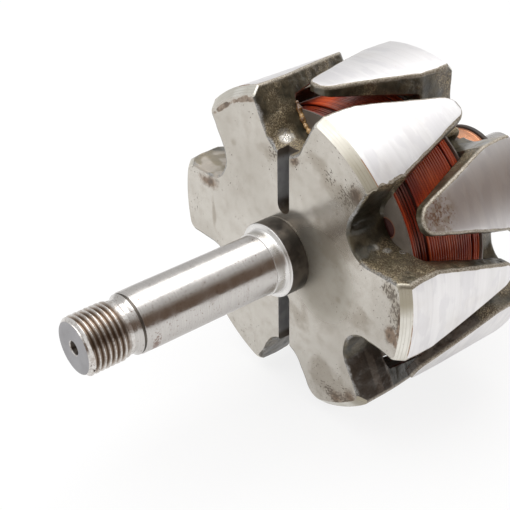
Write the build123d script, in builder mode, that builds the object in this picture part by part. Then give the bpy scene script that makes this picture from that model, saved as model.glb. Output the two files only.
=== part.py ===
from build123d import *
import math
import os

# Claw-pole alternator rotor, lying on its pole fingers with the groove of the drive-end pole upright.
# Millimetres. +Y runs along the shaft from the threaded end to the slip-ring end, +Z is up.
# The origin is on the shaft axis, where the drive-end bearing seat meets its shoulder.

# Turned shaft, drive end
bearing_seat_radius = 8.5
bearing_seat_length = 38.1
neck_radius = 7.7
neck_length = 3.8
seat_chamfer = 0.8
thread_radius = 8.0
thread_length = 15.6
thread_chamfer = 1.0
land_radius = 8.9
land_length = 2.4
collar_radius = 10.8
collar_fillet = 1.0
collar_chamfer = 0.3
collar_length = 6.0

# Turned shaft, under the poles and at the slip-ring end
press_radius = 9.0
rear_step_radius = 8.0
rear_seat_radius = 7.5
rear_seat_length = 14.0
rear_relief_radius = 7.2
rear_relief_length = 2.0
rear_chamfer = 0.8

# Centre holes in both shaft ends
centre_mouth_radius = 2.6
centre_pilot_radius = 1.2
centre_cone_angle = 60.0
centre_pilot_depth = 3.5

# Forged claw poles
finger_count = 6
pole_radius = 47.0
pole_chamfer = 2.3
stack_length = 51.0
plate_thickness = 12.3
finger_length = 40.3
valley_mouth_half_width = 11.5
finger_tip_half_width = 3.4
finger_tip_round = 3.0
finger_root_thickness = 5.2
finger_tip_thickness = 1.4
finger_root_fillet = 1.5
valley_fillet = 7.0
groove_width = 4.8
groove_depth = 3.9
groove_inner_radius = 12.6

# Iron core, bobbin and field winding between the plates
core_radius = 23.0
bobbin_wall = 1.2
flange_thickness = 0.5
flange_clearance = 4.1
winding_step = 0.5
lead_hole_radius = 2.7
lead_hole_inset = 0.2

# Slip rings on their moulded sleeve
moulding_gap = 3.2
front_rib_width = 3.0
middle_rib_width = 2.5
end_rib_width = 1.5
rib_radius = 14.6
ring_seat_radius = 11.5
ring_radius = 14.0
ring_width = 7.0

# Terminals, leads and their sleeves
terminal_width = 3.2
terminal_thickness = 0.8
terminal_length = 1.8
lead_radius = 0.5
sleeve_radius = 1.2
lead_bend_radius = 2.4
lead_bare_length = 1.5
lead_clearance = 0.2

# Places worked out from the sizes above
collar_face = land_length + collar_fillet
drive_face = collar_face + collar_length
drive_inner_face = drive_face + plate_thickness
rear_face = drive_face + stack_length
rear_inner_face = rear_face - plate_thickness
window_length = rear_inner_face - drive_inner_face
thread_end = -bearing_seat_length - neck_length - thread_length
finger_step = 360.0 / finger_count
finger_root_inner_radius = pole_radius - finger_root_thickness
finger_tip_inner_radius = pole_radius - finger_tip_thickness
half_step_sine = math.sin(math.radians(finger_step / 2))
finger_root_half_width = pole_radius * half_step_sine - valley_mouth_half_width
valley_root_radius = (finger_root_half_width + valley_fillet) / half_step_sine - valley_fillet
flange_radius = finger_root_inner_radius - flange_clearance
winding_radius = flange_radius - winding_step
lead_hole_pitch_radius = valley_root_radius - lead_hole_inset
moulding_start = rear_face + moulding_gap
moulding_length = front_rib_width + middle_rib_width + end_rib_width + 2 * ring_width
moulding_end = moulding_start + moulding_length
inner_ring_start = moulding_start + front_rib_width
outer_ring_start = inner_ring_start + ring_width + middle_rib_width
shaft_end = moulding_end + rear_relief_length + rear_seat_length

os.makedirs("parts", exist_ok=True)


def save(part, name):
    part.label = name
    export_step(part, "parts/" + name + ".step")


def direction(angle):
    """Radial direction at an angle from straight up, turning towards +X."""
    turn = math.radians(angle)
    return Vector(math.sin(turn), 0, math.cos(turn))


def face_plane(station, inward, angle):
    """Plane across the shaft at a station, looking inward, with its own Y axis at an angle from up."""
    normal = Vector(0, inward, 0)
    return Plane(origin=(0, station, 0), x_dir=direction(angle).cross(normal), z_dir=normal)


def ring(start, length, inner, outer):
    """Plain ring about the shaft axis."""
    with BuildPart() as band:
        with BuildSketch(face_plane(start, 1, 0)):
            Circle(outer)
            Circle(inner, mode=Mode.SUBTRACT)
        extrude(amount=length)
    return band.part


# Shaft: one turned piece, with the thread at its plain outer diameter
with BuildPart() as shaft:
    with BuildSketch(Plane.XY):
        with BuildLine():
            Polyline(
                (0, thread_end),
                (thread_radius - thread_chamfer, thread_end),
                (thread_radius, thread_end + thread_chamfer),
                (thread_radius, thread_end + thread_length),
                (neck_radius, thread_end + thread_length),
                (neck_radius, -bearing_seat_length),
                (bearing_seat_radius, -bearing_seat_length + seat_chamfer),
                (bearing_seat_radius, 0),
                (land_radius, 0),
                (land_radius, land_length),
            )
            RadiusArc(
                (land_radius, land_length),
                (land_radius + collar_fillet, collar_face),
                collar_fillet,
            )
            Polyline(
                (land_radius + collar_fillet, collar_face),
                (collar_radius - collar_chamfer, collar_face),
                (collar_radius, collar_face + collar_chamfer),
                (collar_radius, drive_face),
                (press_radius, drive_face),
                (press_radius, rear_face),
                (rear_step_radius, rear_face),
                (rear_step_radius, moulding_end),
                (rear_relief_radius, moulding_end),
                (rear_relief_radius, moulding_end + rear_relief_length),
                (rear_seat_radius, moulding_end + rear_relief_length),
                (rear_seat_radius, shaft_end - rear_chamfer),
                (rear_seat_radius - rear_chamfer, shaft_end),
                (0, shaft_end),
                (0, thread_end),
            )
        make_face()
    revolve(axis=Axis.Y)
    cone_depth = (centre_mouth_radius - centre_pilot_radius) / math.tan(math.radians(centre_cone_angle / 2))
    for end, inward in ((thread_end, 1), (shaft_end, -1)):
        with BuildSketch(Plane.XY):
            with BuildLine():
                Polyline(
                    (0, end),
                    (centre_mouth_radius, end),
                    (centre_pilot_radius, end + inward * cone_depth),
                    (centre_pilot_radius, end + inward * (cone_depth + centre_pilot_depth)),
                    (0, end + inward * (cone_depth + centre_pilot_depth + centre_pilot_radius / 2)),
                    close=True,
                )
            make_face()
        revolve(axis=Axis.Y, mode=Mode.SUBTRACT)
save(shaft.part, "shaft")


def claw_pole(station, inward, groove_angle):
    """Forged pole with its outer face at a station: a plate whose arms bend into tapered fingers."""
    face = face_plane(station, inward, groove_angle)
    with BuildPart() as pole:
        with BuildSketch(face) as outline:
            for bar in range(finger_count // 2):
                Rectangle(2 * pole_radius + 2, 2 * finger_root_half_width, rotation=bar * finger_step)
            corners = outline.vertices().group_by(lambda v: round(math.hypot(v.X, v.Y), 1))[0]
            fillet(corners, valley_fillet)
        extrude(amount=plate_thickness)
        for finger in range(finger_count):
            radial = direction(groove_angle + finger_step * (finger + 0.5))
            plan = Plane(
                origin=face.origin + radial * (finger_root_inner_radius - finger_root_fillet),
                x_dir=face.z_dir.cross(radial),
                z_dir=radial,
            )
            with BuildSketch(plan) as finger_plan:
                with BuildLine():
                    Polyline(
                        (-finger_root_half_width, plate_thickness / 2),
                        (-finger_root_half_width, plate_thickness),
                        (-finger_tip_half_width, finger_length),
                        (finger_tip_half_width, finger_length),
                        (finger_root_half_width, plate_thickness),
                        (finger_root_half_width, plate_thickness / 2),
                        close=True,
                    )
                make_face()
                tip = finger_plan.vertices().sort_by(Axis.Y)[-2:]
                fillet(tip, finger_tip_round)
            extrude(amount=pole_radius - finger_root_inner_radius + 2 * finger_root_fillet)
        with BuildSketch(Plane.XY) as section:
            with BuildLine():
                Polyline(
                    (0, station),
                    (pole_radius - pole_chamfer, station),
                    (pole_radius, station + inward * pole_chamfer),
                    (pole_radius, station + inward * finger_length),
                    (finger_tip_inner_radius, station + inward * finger_length),
                    (finger_root_inner_radius, station + inward * plate_thickness),
                    (0, station + inward * plate_thickness),
                    close=True,
                )
            make_face()
            elbow = section.vertices().sort_by_distance(
                (finger_root_inner_radius, station + inward * plate_thickness, 0)
            )[0]
            fillet(elbow, finger_root_fillet)
        revolve(axis=Axis.Y, mode=Mode.INTERSECT)
        with BuildSketch(face):
            Circle(press_radius)
        extrude(amount=plate_thickness, mode=Mode.SUBTRACT)
        groove_length = pole_radius - groove_inner_radius
        groove_middle = (pole_radius + groove_inner_radius) / 2
        with BuildSketch(face):
            with Locations((0, groove_middle), (0, -groove_middle)):
                SlotOverall(groove_length, groove_width, rotation=90)
        extrude(amount=groove_depth, mode=Mode.SUBTRACT)
    return pole.part


save(claw_pole(drive_face, 1, 0), "drive_claw_pole")
save(claw_pole(rear_face, -1, finger_step / 2), "rear_claw_pole")

# Core: soft iron ring that carries the flux between the plates
save(ring(drive_inner_face, window_length, press_radius, core_radius), "pole_core")

# Bobbin: tube round the core, with a washer against each plate
tube_start = drive_inner_face + flange_thickness
tube_length = window_length - 2 * flange_thickness
save(ring(tube_start, tube_length, core_radius, core_radius + bobbin_wall), "bobbin_tube")


def bobbin_flange(start, hole_angle):
    """Insulating washer with a lead hole each side."""
    with BuildPart() as washer:
        with BuildSketch(face_plane(start, 1, hole_angle)):
            Circle(flange_radius)
            Circle(core_radius, mode=Mode.SUBTRACT)
            with Locations((0, lead_hole_pitch_radius), (0, -lead_hole_pitch_radius)):
                Circle(lead_hole_radius, mode=Mode.SUBTRACT)
        extrude(amount=flange_thickness)
    return washer.part


save(bobbin_flange(drive_inner_face, finger_step), "drive_bobbin_flange")
save(bobbin_flange(rear_inner_face - flange_thickness, finger_step / 2), "rear_bobbin_flange")

# Field winding: one closed coil between the flanges
save(ring(tube_start, tube_length, core_radius + bobbin_wall, winding_radius), "field_winding")

# Slip-ring moulding: sleeve pressed on the shaft, ribbed each side of the rings
with BuildPart() as moulding:
    with BuildSketch(Plane.XY):
        with BuildLine():
            Polyline(
                (rear_step_radius, moulding_start),
                (rib_radius, moulding_start),
                (rib_radius, inner_ring_start),
                (ring_seat_radius, inner_ring_start),
                (ring_seat_radius, inner_ring_start + ring_width),
                (rib_radius, inner_ring_start + ring_width),
                (rib_radius, outer_ring_start),
                (ring_seat_radius, outer_ring_start),
                (ring_seat_radius, outer_ring_start + ring_width),
                (rib_radius, outer_ring_start + ring_width),
                (rib_radius, moulding_end),
                (rear_step_radius, moulding_end),
                close=True,
            )
        make_face()
    revolve(axis=Axis.Y)
save(moulding.part, "slip_ring_moulding")
save(ring(inner_ring_start, ring_width, ring_seat_radius, ring_radius), "inner_slip_ring")
save(ring(outer_ring_start, ring_width, ring_seat_radius, ring_radius), "outer_slip_ring")

# Leads: from the lead hole of the rear flange, out through a valley, in along the groove of the
# rear pole and back to a terminal on the face of the moulding
winding_end = tube_start + tube_length
groove_line = rear_face - groove_depth / 2
lead_outer_radius = valley_root_radius + sleeve_radius + lead_clearance
lead_inner_radius = groove_inner_radius + sleeve_radius + lead_clearance
terminal_radius = lead_inner_radius - lead_radius - terminal_thickness / 2
terminal_face = moulding_start - terminal_length
for name, angle in (("start", finger_step / 2), ("finish", finger_step / 2 + 180)):
    radial = direction(angle)
    along = Vector(0, 1, 0)
    across = radial.cross(along)
    with BuildPart() as terminal:
        middle = radial * terminal_radius + along * terminal_face
        with BuildSketch(Plane(origin=middle, x_dir=across, z_dir=along)):
            Rectangle(terminal_width, terminal_thickness)
        extrude(amount=terminal_length)
    save(terminal.part, name + "_terminal")
    run_start = radial * lead_outer_radius + along * winding_end
    first_turn = radial * lead_outer_radius + along * groove_line
    second_turn = radial * lead_inner_radius + along * groove_line
    run_end = radial * lead_inner_radius + along * moulding_start
    with BuildLine() as route:
        FilletPolyline(run_start, first_turn, second_turn, run_end, radius=lead_bend_radius)
    with BuildPart() as lead:
        with BuildSketch(Plane(origin=run_start, x_dir=across, z_dir=along)):
            Circle(lead_radius)
        sweep(path=route.wires()[0])
    save(lead.part, name + "_lead")
    sleeve_start = run_start + along * lead_bare_length
    sleeve_end = run_end - along * (terminal_length + lead_clearance)
    with BuildLine() as sleeve_route:
        FilletPolyline(sleeve_start, first_turn, second_turn, sleeve_end, radius=lead_bend_radius)
    with BuildPart() as sleeve:
        with BuildSketch(Plane(origin=sleeve_start, x_dir=across, z_dir=along)):
            Circle(sleeve_radius)
            Circle(lead_radius, mode=Mode.SUBTRACT)
        sweep(path=sleeve_route.wires()[0])
    save(sleeve.part, name + "_lead_sleeve")
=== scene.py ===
import math
from functools import partial

import bmesh
import bpy
from mathutils import Matrix, Vector, noise


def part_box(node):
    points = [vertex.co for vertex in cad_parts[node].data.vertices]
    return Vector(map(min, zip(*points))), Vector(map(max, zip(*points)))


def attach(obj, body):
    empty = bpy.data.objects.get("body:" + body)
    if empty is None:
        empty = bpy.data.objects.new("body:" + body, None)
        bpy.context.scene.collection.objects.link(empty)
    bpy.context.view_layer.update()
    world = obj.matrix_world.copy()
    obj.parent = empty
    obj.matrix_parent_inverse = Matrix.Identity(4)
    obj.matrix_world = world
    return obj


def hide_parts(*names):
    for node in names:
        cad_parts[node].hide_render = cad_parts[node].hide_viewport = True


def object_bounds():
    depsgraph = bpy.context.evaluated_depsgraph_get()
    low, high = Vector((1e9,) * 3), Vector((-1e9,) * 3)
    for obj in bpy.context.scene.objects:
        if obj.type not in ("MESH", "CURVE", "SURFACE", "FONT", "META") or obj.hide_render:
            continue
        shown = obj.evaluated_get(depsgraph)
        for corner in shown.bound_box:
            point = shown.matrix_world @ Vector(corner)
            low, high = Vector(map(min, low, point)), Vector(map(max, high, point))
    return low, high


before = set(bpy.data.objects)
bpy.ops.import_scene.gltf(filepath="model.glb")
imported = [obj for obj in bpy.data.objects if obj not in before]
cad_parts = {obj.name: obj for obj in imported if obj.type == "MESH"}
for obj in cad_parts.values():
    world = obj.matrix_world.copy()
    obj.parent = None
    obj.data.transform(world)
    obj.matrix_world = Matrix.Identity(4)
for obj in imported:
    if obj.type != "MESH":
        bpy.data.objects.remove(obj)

cad_low, cad_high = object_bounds()

# Shaft. One bar of carbon steel, turned between its two centre holes: thread for the pulley nut,
# ground seat for the drive-end bearing, black collar left from the bar, and the seat for the
# slip-ring end bearing. The poles, the core and the slip rings are pressed onto it.
mm = 0.001
scene = bpy.context.scene
shaft_low, shaft_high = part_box("shaft")
thread_end = shaft_low.y / mm
shaft_end = shaft_high.y / mm
drive_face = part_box("drive_claw_pole")[0].y / mm
rear_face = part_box("rear_claw_pole")[1].y / mm
moulding_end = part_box("slip_ring_moulding")[1].y / mm
thread_length = 13.2
neck_length = 1.1
neck_radius = 7.35
shoulder_radius = 8.3
shoulder_length = 1.0
ring_groove_width = 0.75
ring_groove_depth = 0.25
seat_radius = 8.5
ground_seat_start = -37.6
ground_step = 0.05
seat_lead = 0.2
edge_break = 0.1
body_lap = 0.3
land_radius = 8.9
land_length = 2.4
collar_radius = 10.8
collar_fillet = 1.0
fillet_steps = 4
collar_front_break = 0.3
collar_rear_chamfer = 0.35
press_radius = 9.0
rear_step_radius = 8.0
rear_relief_radius = 7.2
rear_relief_length = 2.0
rear_seat_radius = 7.5
rear_chamfer = 0.8
centre_mouth_radius = 1.95
centre_pilot_radius = 1.1
centre_cone_depth = 1.47
centre_pilot_depth = 3.5
round_segments = 96
corner_softness = 0.12
sharp_corner = math.radians(35)
steel_light = (0.60, 0.575, 0.55)
steel_bright = (0.80, 0.785, 0.765)
steel_dark = (0.085, 0.078, 0.072)
rust_brown = (0.17, 0.085, 0.045)


def feed(node, name, value):
    """Gives a node's socket a plain value, or what another node puts out."""
    if isinstance(value, bpy.types.NodeSocket):
        node.id_data.links.new(value, node.inputs[name])
    else:
        node.inputs[name].default_value = value


def new_node(beside, kind, **values):
    """Node of a kind in the same tree as another node or its socket, with values on its sockets."""
    made = beside.id_data.nodes.new("ShaderNode" + kind)
    for name, value in values.items():
        feed(made, name.replace("_", " "), value)
    return made


def new_finish(name, colour, metallic, roughness):
    """Material with its shader and the piece's own coordinates."""
    material = bpy.data.materials.new(name)
    material.use_nodes = True
    shader = material.node_tree.nodes["Principled BSDF"]
    feed(shader, "Base Color", (*colour, 1))
    feed(shader, "Metallic", metallic)
    feed(shader, "Roughness", roughness)
    return material, shader, new_node(shader, "TexCoord").outputs["Object"]


def grain(place, cells, detail=3, stretch=(1, 1, 1)):
    """Noise, at a number of cells in a millimetre, finer along the axes that stretch names."""
    mapping = new_node(place, "Mapping", Vector=place, Scale=stretch)
    cloud = new_node(place, "TexNoise", Vector=mapping.outputs["Vector"], Scale=cells / mm, Detail=detail)
    return cloud.outputs["Fac"]


def span(value, low, high, out_low=0.0, out_high=1.0):
    """Carries the range from low to high over to another range, with smooth ends."""
    step = new_node(value, "MapRange")
    step.interpolation_type = "SMOOTHSTEP"
    feed(step, "Value", value)
    for name, limit in (("From Min", low), ("From Max", high), ("To Min", out_low), ("To Max", out_high)):
        feed(step, name, limit)
    return step.outputs["Result"]


def combine(operation, first, second=0):
    """Arithmetic on two values, either of which may be a plain number."""
    beside = first if isinstance(first, bpy.types.NodeSocket) else second
    sum_node = new_node(beside, "Math")
    sum_node.operation = operation
    feed(sum_node, 0, first)
    feed(sum_node, 1, second)
    return sum_node.outputs["Value"]


times, plus, minus, larger = (partial(combine, way) for way in ("MULTIPLY", "ADD", "SUBTRACT", "MAXIMUM"))


def off(value, middle):
    """How far a value is from a middle one."""
    return combine("ABSOLUTE", minus(value, middle))


def tint(amount, under, over):
    """Colour that goes from under to over with the amount."""
    mix = new_node(amount, "Mix")
    mix.data_type = "RGBA"
    feed(mix, "Factor", amount)
    for name, colour in (("A", under), ("B", over)):
        feed(mix, name, (*colour, 1) if isinstance(colour, tuple) else colour)
    return mix.outputs["Result"]


def emboss(shader, height, depth):
    """Relief of a depth in millimetres, from a height between 0 and 1."""
    bump = new_node(shader, "Bump", Strength=1.0, Distance=depth * mm, Height=height)
    feed(shader, "Normal", bump.outputs["Normal"])


def gather(place, marks):
    """Sum of a few round falls from 1 to 0, each given by its middle and its reach along the axes."""
    total = 0.0
    for middle, reach in marks:
        at, size = Vector(middle) * mm, Vector(reach) * mm
        around = new_node(place, "Mapping", Vector=place, Location=at, Scale=size)
        around.vector_type = "TEXTURE"
        fall = new_node(place, "TexGradient", Vector=around.outputs["Vector"])
        fall.gradient_type = "SPHERICAL"
        total = plus(fall.outputs["Fac"], total)
    return total


def coordinate(place, axis):
    """One coordinate of a place."""
    return new_node(place, "SeparateXYZ", Vector=place).outputs[axis]


def axis_radius(place):
    """Distance from the shaft axis, in millimetres."""
    flat = new_node(place, "Mapping", Vector=place, Scale=(1 / mm, 0, 1 / mm))
    length = new_node(place, "VectorMath", Vector=flat.outputs["Vector"])
    length.operation = "LENGTH"
    return length.outputs["Value"]


def turned_steel(name, colour, roughness, line_depth, stain, bruises=()):
    """Steel with the fine rings of a lathe or grinding wheel, lightly stained, rusty where bruised."""
    material, shader, place = new_finish(name, colour, 1.0, roughness)
    rings = grain(place, 0.02, 2, (1, 260, 1))
    fine_rings = grain(place, 0.03, 1, (1, 900, 1))
    clouds = grain(place, 0.25, 4)
    tone = tint(span(rings, 0.3, 0.75), tuple(0.86 * c for c in colour), colour)
    tone = tint(span(clouds, 0.60, 0.80, 0.0, stain), tone, rust_brown)
    if bruises:
        pecked = plus(times(gather(place, bruises), 0.3), grain(place, 1.8, 3))
        tone = tint(span(pecked, 0.62, 0.72, 0.0, 0.8), tone, (0.22, 0.14, 0.11))
    feed(shader, "Base Color", tone)
    feed(shader, "Roughness", span(clouds, 0.3, 0.7, roughness - 0.05, roughness + 0.07))
    emboss(shader, plus(rings, fine_rings), line_depth)
    return material


def thread_steel():
    """The pulley thread: bright crests, darker towards its roots."""
    material, shader, place = new_finish("thread_steel", steel_light, 1.0, 0.3)
    at_tip = span(coordinate(place, "Y"), (thread_end + 0.9) * mm, (thread_end + 1.5) * mm, 1.0, 0.0)
    at_neck = span(coordinate(place, "Y"), -47 * mm, -45 * mm)
    radius = axis_radius(place)
    # Paler at the crests, the tip and the neck, darker towards the roots.
    paleness = larger(larger(span(radius, 7.35, 7.95), at_tip), at_neck)
    paleness = times(paleness, span(grain(place, 0.4, 4), 0.2, 0.55, 0.5, 1.0))
    paleness = times(paleness, span(grain(place, 1.5, 3, (1, 0.5, 1)), 0.35, 0.6, 0.6, 1.0))
    tone = tint(paleness, (0.27, 0.21, 0.165), (0.72, 0.70, 0.675))
    nicked = times(gather(place, (((7.2, thread_end + 1.2, -2.6), (2.2, 2.6, 3.0)),)), 0.25)
    tone = tint(span(plus(nicked, grain(place, 1.2, 2)), 0.74, 0.78), tone, (0.06, 0.04, 0.03))
    in_hole = span(radius, centre_mouth_radius - 0.15, centre_mouth_radius + 0.05, 1.0, 0.0)
    feed(shader, "Base Color", tint(in_hole, tone, (0.05, 0.042, 0.035)))
    emboss(shader, grain(place, 1.6, 4), 0.06)
    return material


def collar_steel():
    """The collar's side, black from forging, with a few rust specks."""
    material, shader, place = new_finish("collar_steel", steel_dark, 0.85, 0.42)
    specks = span(grain(place, 1.3, 5), 0.66, 0.74)
    scaled = tint(span(grain(place, 0.22, 4), 0.35, 0.65), (0.06, 0.053, 0.046), (0.15, 0.13, 0.11))
    feed(shader, "Base Color", tint(specks, scaled, (0.12, 0.075, 0.05)))
    feed(shader, "Roughness", span(specks, 0, 1, 0.38, 0.75))
    emboss(shader, grain(place, 1.0, 5), 0.06)
    return material


def mark_sharp(shape, angle):
    """Keeps the edges sharp that turn by more than an angle in degrees."""
    for edge in shape.edges:
        edge.smooth = edge.calc_face_angle(0) < math.radians(angle)


def new_piece(name, shape, finishes, sharp_angle=30):
    """Turns a shape in millimetres into an object in metres, smooth up to an angle."""
    bmesh.ops.recalc_face_normals(shape, faces=shape.faces)
    bmesh.ops.scale(shape, vec=(mm, mm, mm), verts=shape.verts)
    for face in shape.faces:
        face.smooth = True
    mark_sharp(shape, sharp_angle)
    mesh = bpy.data.meshes.new(name)
    shape.to_mesh(mesh)
    shape.free()
    for finish in finishes:
        mesh.materials.append(finish)
    piece = bpy.data.objects.new(name, mesh)
    scene.collection.objects.link(piece)
    return piece


def outline(shape, profile):
    """Line through the places of a profile, each along and out from the shaft axis."""
    verts = [shape.verts.new((0, along, out)) for along, out in profile]
    return verts + [shape.edges.new(pair) for pair in zip(verts, verts[1:])]


def spin(shape, line, steps, turns=1, **more):
    """Spins a line about the shaft axis."""
    angle = math.tau * turns
    bmesh.ops.spin(shape, geom=line, axis=(0, 1, 0), cent=(0, 0, 0), angle=angle, steps=steps, **more)


def lathe(profile):
    """Round shape of a profile."""
    shape = bmesh.new()
    spin(shape, outline(shape, profile), round_segments, use_merge=True)
    bmesh.ops.remove_doubles(shape, verts=shape.verts, dist=1e-5)
    return shape


def from_axis(place):
    """Distance of a place from the shaft axis."""
    return math.hypot(place.x, place.z)


def soften(shape, beyond=-1):
    """Rounds the sharp edges of a shape a little, where they lie beyond a radius."""
    edges = [e for e in shape.edges if e.calc_face_angle(0) > sharp_corner]
    bmesh.ops.bevel(
        shape,
        geom=[e for e in edges if from_axis(e.verts[0].co) > beyond],
        offset=corner_softness,
        offset_type="OFFSET",
        segments=2,
        profile=0.5,
        affect="EDGES",
        clamp_overlap=True,
        material=-1,
    )


def among(geom, kind):
    """The BMVert, BMEdge or BMFace things among what an operator made."""
    return [thing for thing in geom if isinstance(thing, getattr(bmesh.types, kind))]


def extrude(shape, edges):
    """Draws walls out of open edges and gives their new verts and edges."""
    made = bmesh.ops.extrude_edge_only(shape, edges=edges)["geom"]
    return among(made, "BMVert"), among(made, "BMEdge")


body_start = thread_end + thread_length
collar_face = land_length + collar_fillet
groove_start = body_start + neck_length + shoulder_length
seat_start = groove_start + ring_groove_width
groove_radius = shoulder_radius - ring_groove_depth
pilot_start = shaft_end - centre_cone_depth
pilot_bottom = pilot_start - centre_pilot_depth
body_profile = [
    (body_start - body_lap, 0),
    (body_start - body_lap, neck_radius - body_lap),
    (body_start, neck_radius),
    (body_start + neck_length, neck_radius),
    (groove_start, shoulder_radius),
    (groove_start + edge_break, groove_radius),
    (seat_start - edge_break, groove_radius),
    (seat_start, shoulder_radius),
    (seat_start + seat_lead, seat_radius - ground_step),
    (ground_seat_start - edge_break, seat_radius - ground_step),
    (ground_seat_start, seat_radius),
    (0, seat_radius),
    (0, land_radius),
    (land_length, land_radius),
]
for step in range(1, fillet_steps + 1):
    turn = step * math.pi / 2 / fillet_steps
    fillet_rise = collar_fillet * (1 - math.cos(turn))
    body_profile.append((land_length + collar_fillet * math.sin(turn), land_radius + fillet_rise))
body_profile += [
    (collar_face, collar_radius - collar_front_break),
    (collar_face + collar_front_break, collar_radius),
    (drive_face - collar_rear_chamfer, collar_radius),
    (drive_face, collar_radius - collar_rear_chamfer),
    (drive_face, press_radius),
    (rear_face, press_radius),
    (rear_face, rear_step_radius),
    (moulding_end, rear_step_radius),
    (moulding_end, rear_relief_radius),
    (moulding_end + rear_relief_length, rear_relief_radius),
    (moulding_end + rear_relief_length, rear_seat_radius),
    (shaft_end - rear_chamfer, rear_seat_radius),
    (shaft_end, rear_seat_radius - rear_chamfer),
    (shaft_end, centre_mouth_radius),
    (pilot_start, centre_pilot_radius),
    (pilot_bottom, centre_pilot_radius),
    (pilot_bottom - centre_pilot_radius / 2, 0),
]
shaft_shape = lathe(body_profile)
soften(shaft_shape)
ground, faced, blackened = range(3)
for face in shaft_shape.faces:
    along = face.calc_center_median().y
    face.material_index = ground
    if groove_start + 0.05 < along < seat_start - 0.05:
        face.material_index = blackened
    elif 0 <= along < drive_face:
        on_side = collar_face + 0.2 < along < drive_face - 0.05 - collar_rear_chamfer / 2
        black = on_side and from_axis(face.calc_center_median()) > land_radius
        face.material_index = blackened if black else faced
seat_bruises = (((7.7, -38.5, -3.0), (4.0, 1.6, 5.0)), ((6.4, -38.6, -5.8), (4.0, 1.5, 4.0)))
shaft_finishes = [
    turned_steel("ground_seat_steel", steel_light, 0.2, 0.004, 0.12, seat_bruises),
    turned_steel("collar_face_steel", steel_bright, 0.3, 0.01, 0.05),
    collar_steel(),
]
turned_shaft = new_piece("turned_shaft", shaft_shape, shaft_finishes)
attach(turned_shaft, "root")
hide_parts("shaft")

# Pulley thread. The front of the same bar, cut with a metric thread of 1.5 mm pitch; its first turn
# dies out in the tip chamfer and its last one in the neck.
pitch = 1.5
crest_radius = 8.0
root_radius = 7.08
root_flat = 0.28
crest_flat = 0.18
crest_wear = 0.03
tip_radius = 7.0
runout_slope = 0.27
turn_steps = 64
thread_turns = 13
thread_shape = bmesh.new()
flank = (pitch - root_flat - crest_flat) / 2
first = thread_end - pitch
tooth = [
    (first, root_radius),
    (first + root_flat, root_radius),
    (first + root_flat + flank, crest_radius - crest_wear),
    (first + root_flat + flank + crest_flat, crest_radius - crest_wear),
    (first + pitch, root_radius),
]
advance = (0, pitch / turn_steps, 0)
spin(thread_shape, outline(thread_shape, tooth), turn_steps * thread_turns, thread_turns, dvec=advance)
bmesh.ops.remove_doubles(thread_shape, verts=thread_shape.verts, dist=1e-4)
for place, outward in ((thread_end, -1), (body_start, 1)):
    bmesh.ops.bisect_plane(
        thread_shape,
        geom=thread_shape.verts[:] + thread_shape.edges[:] + thread_shape.faces[:],
        plane_co=(0, place, 0),
        plane_no=(0, outward, 0),
        clear_outer=True,
    )
for vert in thread_shape.verts:
    out = from_axis(vert.co)
    at_tip = tip_radius + (vert.co.y - thread_end)
    at_neck = neck_radius - 0.05 + runout_slope * (body_start - vert.co.y)
    shrink = min(1, at_tip / out, at_neck / out)
    vert.co.x *= shrink
    vert.co.z *= shrink
open_edges = [e for e in thread_shape.edges if len(e.link_faces) == 1]
mouth = [e for e in open_edges if e.verts[0].co.y < thread_end + 0.1]
back = [e for e in open_edges if e.verts[0].co.y > body_start - 0.1]
bmesh.ops.edgenet_fill(thread_shape, edges=back)
cone_bottom = thread_end + centre_cone_depth
for along, out in (
    (thread_end, centre_mouth_radius + 0.15),
    (thread_end + 0.12, centre_mouth_radius),
    (cone_bottom, centre_pilot_radius),
    (cone_bottom + centre_pilot_depth, centre_pilot_radius),
):
    verts, mouth = extrude(thread_shape, mouth)
    for vert in verts:
        reach = Vector((vert.co.x, vert.co.z)).normalized() * out
        vert.co = (reach.x, along, reach.y)
bmesh.ops.edgenet_fill(thread_shape, edges=mouth)
for face in thread_shape.faces:
    face.material_index = 1 if abs(face.calc_center_median().y - thread_end) < 0.05 else 0
pulley_thread = new_piece(
    "pulley_thread",
    thread_shape,
    [thread_steel(), turned_steel("tip_face_steel", (0.35, 0.345, 0.355), 0.42, 0.03, 0.1)],
    sharp_angle=25,
)
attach(pulley_thread, "root")

# Claw poles. Two equal low-carbon steel forgings, each a plate with six fingers bent over the coil.
# The outer faces are ground, the fingers are turned to size once both poles are on the shaft, and
# the valleys, flanks and undersides keep the dark forged skin.
finger_count = 6
sector = math.tau / finger_count
pole_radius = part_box("drive_claw_pole")[1].x / mm
pole_chamfer = 2.3
plate_thickness = 12.3
finger_length = (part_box("drive_claw_pole")[1].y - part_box("drive_claw_pole")[0].y) / mm
root_half_width = 12.0
tip_half_width = 3.4
tip_round = 3.0
tip_top_round = 0.7
tip_under_round = 0.3
root_inner_radius = pole_radius - 5.9
tip_inner_radius = pole_radius - 2.6
elbow_fillet = 1.5
valley_fillet = 7.0
valley_across = root_half_width + valley_fillet
valley_out = valley_across / math.tan(sector / 2)
edge_roll = 0.8
edge_depths = [0, 0.05, 0.18, 0.4, 0.8, 1.3, 1.8, pole_chamfer - 0.05, pole_chamfer]
wall_steps = 16
finger_step = 0.8
tip_steps = 12
forging_draft = 0.35
skin_bumps = 0.16
skin_waves = 0.25
burr_side = (0, 1)
burr_size = 0.9
pocket_side = (0, 1)
pocket_depth = 0.9
pocket_reach = 0.62
pocket_rim = 0.14
full_side = (1, 1)
full_side_gain = 0.6
plain_corner = 1.0
finger_corner = 0.9
corner_rounds = ((1.0, 0.6), (1.5, 1.7), (1.6, 4.4), (1.6, 1.6), (2.2, 3.4), (1.4, 1.0))
groove_width = 4.8
groove_depth = 3.9
groove_inner_radius = 12.6
groove_end_steps = 12
face_middle_radius = 30
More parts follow.
